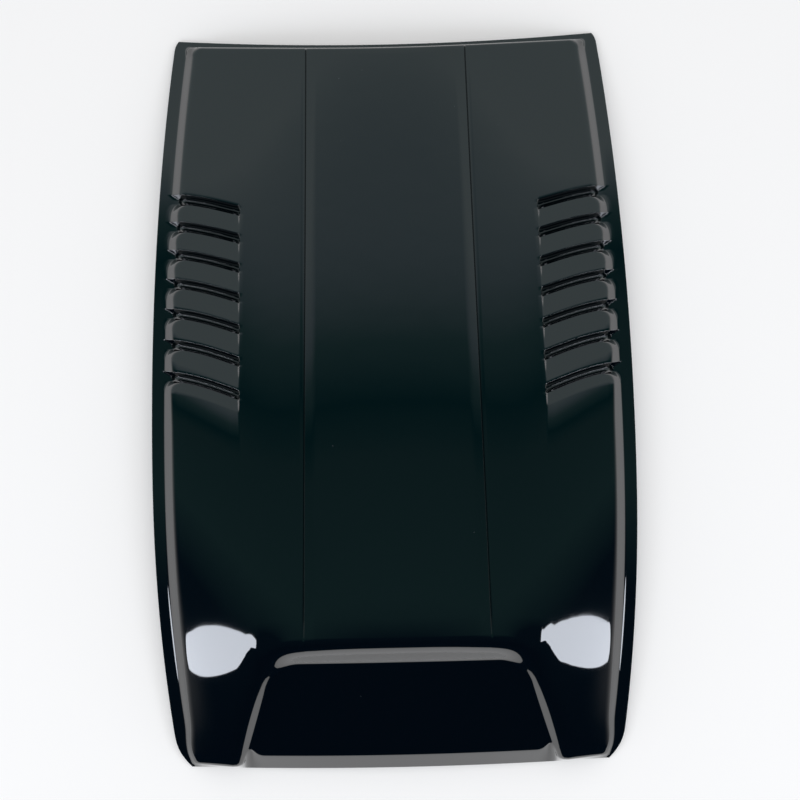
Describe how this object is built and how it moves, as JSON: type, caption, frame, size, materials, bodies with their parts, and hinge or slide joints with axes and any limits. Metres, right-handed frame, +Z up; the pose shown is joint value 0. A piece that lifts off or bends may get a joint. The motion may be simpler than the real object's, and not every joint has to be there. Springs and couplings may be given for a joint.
{
  "type": "bonnet scoop",
  "caption": "Gloss black moulded bonnet scoop with a blind mouth at the front, two lines along its crowned top and gill slots down each side.",
  "frame": {"origin": "middle of the part's box in plan, on the plane that the four corners of its flange rest on", "axes": "+Y along the part's length, towards the windscreen; +Z up from the bonnet; +X across"},
  "size_m": [0.5918, 0.9, 0.0925],
  "materials": {
    "gloss_black_plastic": "gloss"
  },
  "bodies": {
    "root": {"scoop_shell": "gloss_black_plastic"}
  },
  "joints": []
}
